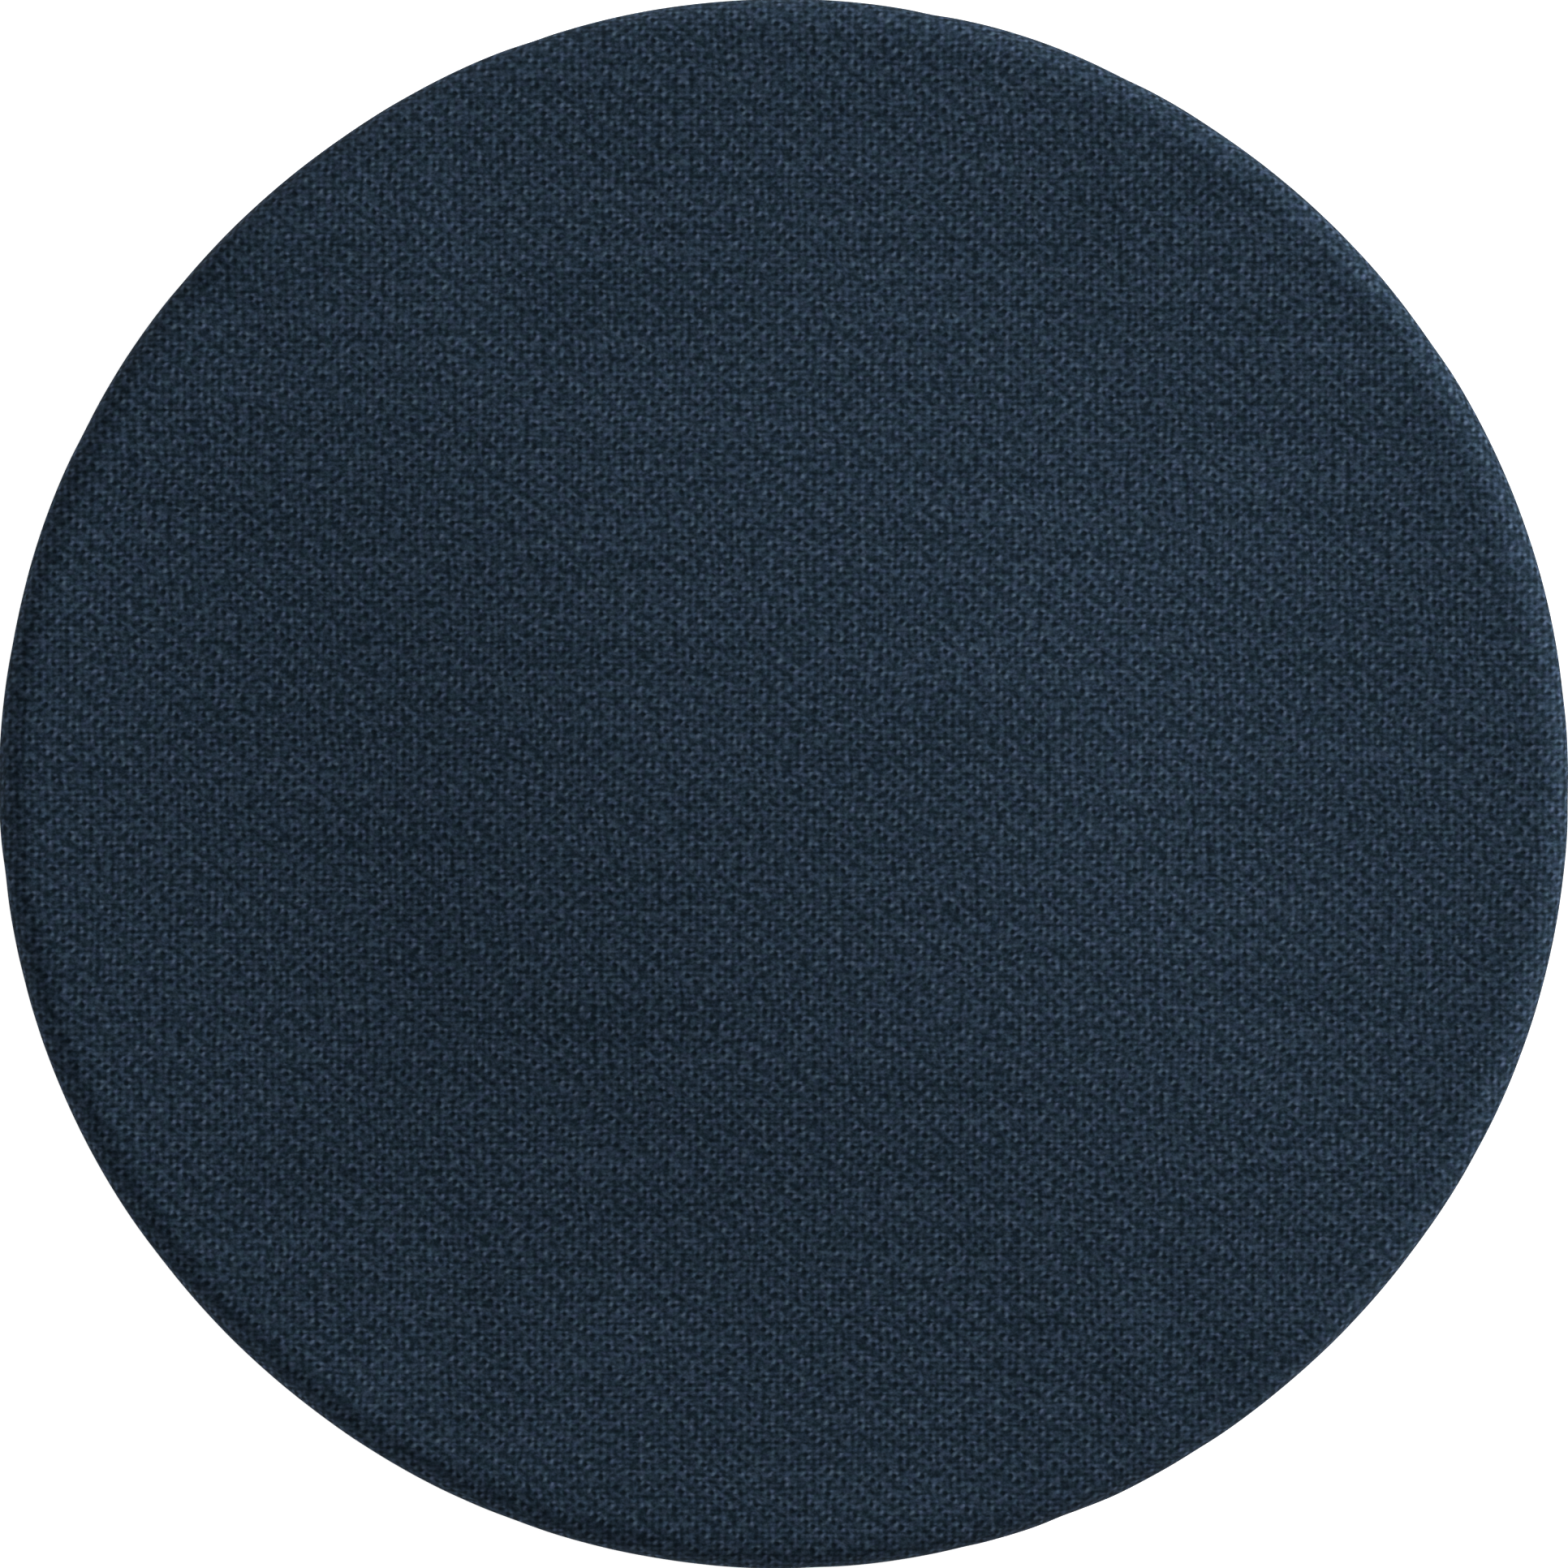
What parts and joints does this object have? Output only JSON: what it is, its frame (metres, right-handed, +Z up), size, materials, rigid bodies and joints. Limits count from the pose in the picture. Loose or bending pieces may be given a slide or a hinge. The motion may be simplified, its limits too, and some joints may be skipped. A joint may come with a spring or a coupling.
{
  "type": "seat cushion",
  "caption": "Round upholstered seat cushion with a crowned foam-filled top, piped edges, an anti-slip base and a removable woven cover closed by a zip round the back.",
  "frame": {"origin": "centre of the underside, on the plane that the cushion rests on", "axes": "+Z up through the crown, -Y to the front, +Y to the middle of the zip"},
  "size_m": [0.34, 0.34, 0.061],
  "materials": {
    "cover_fabric": "matte",
    "base_fabric": "matte",
    "grip_silicone": "satin",
    "zip_tape": "matte",
    "zip_plastic": "satin",
    "slider_metal": "satin",
    "thread": "satin",
    "label_tape": "matte",
    "piping_cord": "matte",
    "liner_cloth": "matte",
    "wadding": "matte",
    "comfort_foam": "matte",
    "support_foam": "matte"
  },
  "bodies": {
    "cushion": {"top_cover_panel": "cover_fabric", "upper_piping_cover": "cover_fabric", "upper_piping_cord": "piping_cord", "front_side_band": "cover_fabric", "zip_strip_upper": "cover_fabric", "zip_strip_lower": "cover_fabric", "lower_piping_cover": "cover_fabric", "lower_piping_cord": "piping_cord", "base_panel": "base_fabric", "grip_dots": "grip_silicone", "zip_tape_upper": "zip_tape", "zip_tape_lower": "zip_tape", "zip_teeth_upper": "zip_plastic", "zip_teeth_lower": "zip_plastic", "zip_top_stops": "zip_plastic", "zip_bottom_stop": "zip_plastic", "zip_end_tab_left": "cover_fabric", "zip_end_tab_right": "cover_fabric", "zip_stitching": "thread", "upper_seam_thread": "thread", "lower_seam_thread": "thread", "care_label": "label_tape", "inner_liner_top": "liner_cloth", "inner_liner_base": "liner_cloth", "fibre_wrap": "wadding", "comfort_foam": "comfort_foam", "support_foam": "support_foam"},
    "zip_slider": {"zip_slider": "slider_metal"},
    "zip_puller": {"zip_puller": "slider_metal"}
  },
  "joints": [
    {"name": "slider_travel", "type": "hinge", "parent": "cushion", "child": "zip_slider", "pos_m": [0, 0, 0.01815], "axis": [0, 0, 1], "range_deg": [-153, 0], "deforming": ["zip_teeth_upper", "zip_teeth_lower"]},
    {"name": "puller_swing", "type": "hinge", "parent": "zip_slider", "child": "zip_puller", "pos_m": [-0.16035, 0.03509, 0.01815], "axis": [0, 0, 1], "range_deg": [0, 165]}
  ]
}
